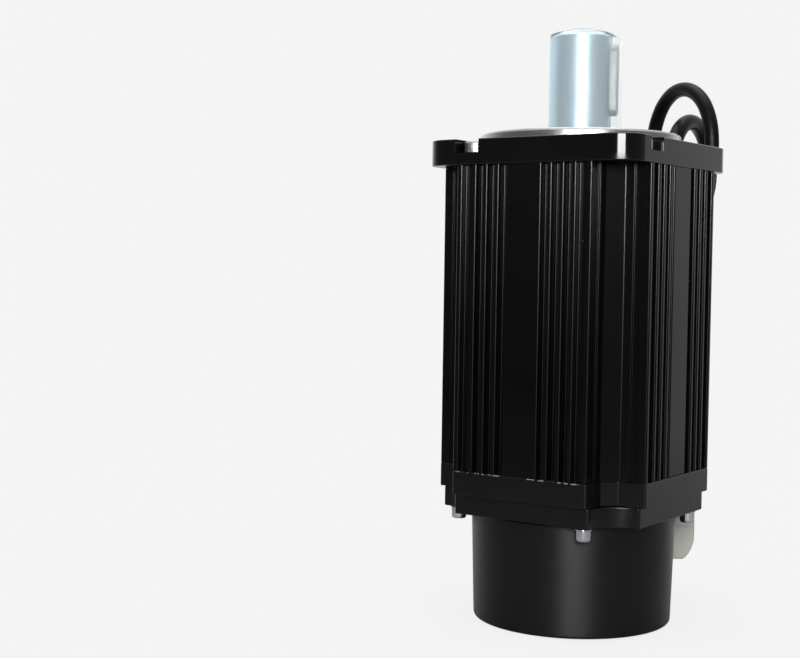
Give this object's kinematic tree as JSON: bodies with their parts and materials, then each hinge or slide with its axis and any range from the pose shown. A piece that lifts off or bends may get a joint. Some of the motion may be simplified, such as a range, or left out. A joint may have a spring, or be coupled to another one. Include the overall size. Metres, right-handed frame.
{
  "type": "servo motor",
  "caption": "Square-flange servo motor with finned housing, keyed shaft under a clear cap, round encoder cover and two flying leads with plugs.",
  "frame": {"origin": "centre of the rear cover's base", "axes": "+Z along the shaft, X and Y square to the sides of the flange; both leads leave on the +Y side"},
  "size_m": [0.08, 0.128, 0.207],
  "materials": {
    "black_anodised": "satin black anodise",
    "black_gloss_paint": "gloss black paint with a bare turned pilot",
    "black_satin_paint": "satin black paint",
    "zinc_screw": "bright zinc plate",
    "ground_steel": "ground",
    "bearing_steel": "polished",
    "lamination": "stacked sheet edges",
    "magnet": "nickel grey coating",
    "copper_winding": "enamelled copper wire, varnished",
    "insulator": "matt",
    "ball_cage_brass": "machined cage and balls",
    "aluminium_ring": "machined",
    "spring_steel": "blued",
    "seal_rubber": "matt",
    "board_green": "solder mask",
    "encoder_glass": "coated glass",
    "black_plastic": "matt",
    "lead_jacket": "semi-gloss cable jacket",
    "plug_beige": "moulded",
    "plug_ivory": "moulded",
    "clear_cap": "clear soft plastic",
    "plate_metal": "brushed, blank"
  },
  "bodies": {
    "motor_body": {"housing_extrusion": "black_anodised", "rear_end_bell": "black_anodised", "front_flange": "black_gloss_paint", "rear_plate": "black_satin_paint", "encoder_cover": "black_satin_paint", "flange_screw_1": "zinc_screw", "flange_screw_2": "zinc_screw", "flange_screw_3": "zinc_screw", "flange_screw_4": "zinc_screw", "rear_screw_1": "zinc_screw", "rear_screw_2": "zinc_screw", "rear_screw_3": "zinc_screw", "rear_screw_4": "zinc_screw", "encoder_screw_1": "zinc_screw", "encoder_screw_2": "zinc_screw", "encoder_base": "black_plastic", "encoder_reader": "black_plastic", "cable_tie": "black_plastic", "power_strain_relief": "black_plastic", "encoder_strain_relief": "black_plastic", "cover_screw_1": "zinc_screw", "cover_screw_2": "zinc_screw", "cover_screw_3": "zinc_screw", "front_bearing_outer_ring": "bearing_steel", "rear_bearing_outer_ring": "bearing_steel", "stator_core": "lamination", "stator_winding": "copper_winding", "slot_insulator_front": "insulator", "slot_insulator_rear": "insulator", "bearing_retaining_ring": "spring_steel", "rear_wave_spring": "spring_steel", "housing_o_ring": "seal_rubber", "shaft_oil_seal": "seal_rubber", "encoder_board": "board_green", "board_connector": "plug_ivory", "encoder_connector": "plug_ivory", "power_connector": "plug_beige", "power_lead": "lead_jacket", "encoder_lead": "lead_jacket", "rating_plate": "plate_metal"},
    "rotor": {"shaft": "ground_steel", "shaft_key": "ground_steel", "rotor_core": "lamination", "rotor_end_ring_front": "aluminium_ring", "rotor_end_ring_rear": "aluminium_ring", "magnet_1": "magnet", "magnet_2": "magnet", "magnet_3": "magnet", "magnet_4": "magnet", "magnet_5": "magnet", "magnet_6": "magnet", "magnet_7": "magnet", "magnet_8": "magnet", "front_bearing_inner_ring": "bearing_steel", "rear_bearing_inner_ring": "bearing_steel", "encoder_hub": "aluminium_ring", "encoder_disc": "encoder_glass"},
    "front_ball_cage": {"front_bearing_ball_cage": "ball_cage_brass"},
    "rear_ball_cage": {"rear_bearing_ball_cage": "ball_cage_brass"},
    "cap": {"shaft_cap": "clear_cap"}
  },
  "joints": [
    {"name": "rotor_spin", "type": "hinge", "parent": "motor_body", "child": "rotor", "pos_m": [0, 0, 0.1], "axis": [0, 0, 1], "continuous": true},
    {"name": "front_cage_spin", "type": "hinge", "parent": "motor_body", "child": "front_ball_cage", "pos_m": [0, 0, 0.154], "axis": [0, 0, 1], "continuous": true},
    {"name": "rear_cage_spin", "type": "hinge", "parent": "motor_body", "child": "rear_ball_cage", "pos_m": [0, 0, 0.0542], "axis": [0, 0, 1], "continuous": true},
    {"name": "cap_pull", "type": "slide", "parent": "rotor", "child": "cap", "axis": [0, 0, 1], "range_m": [0, 0.04]}
  ],
  "couplings": [
    {"joint": "front_cage_spin", "follows": "rotor_spin", "ratio": 0.388},
    {"joint": "rear_cage_spin", "follows": "rotor_spin", "ratio": 0.39}
  ]
}
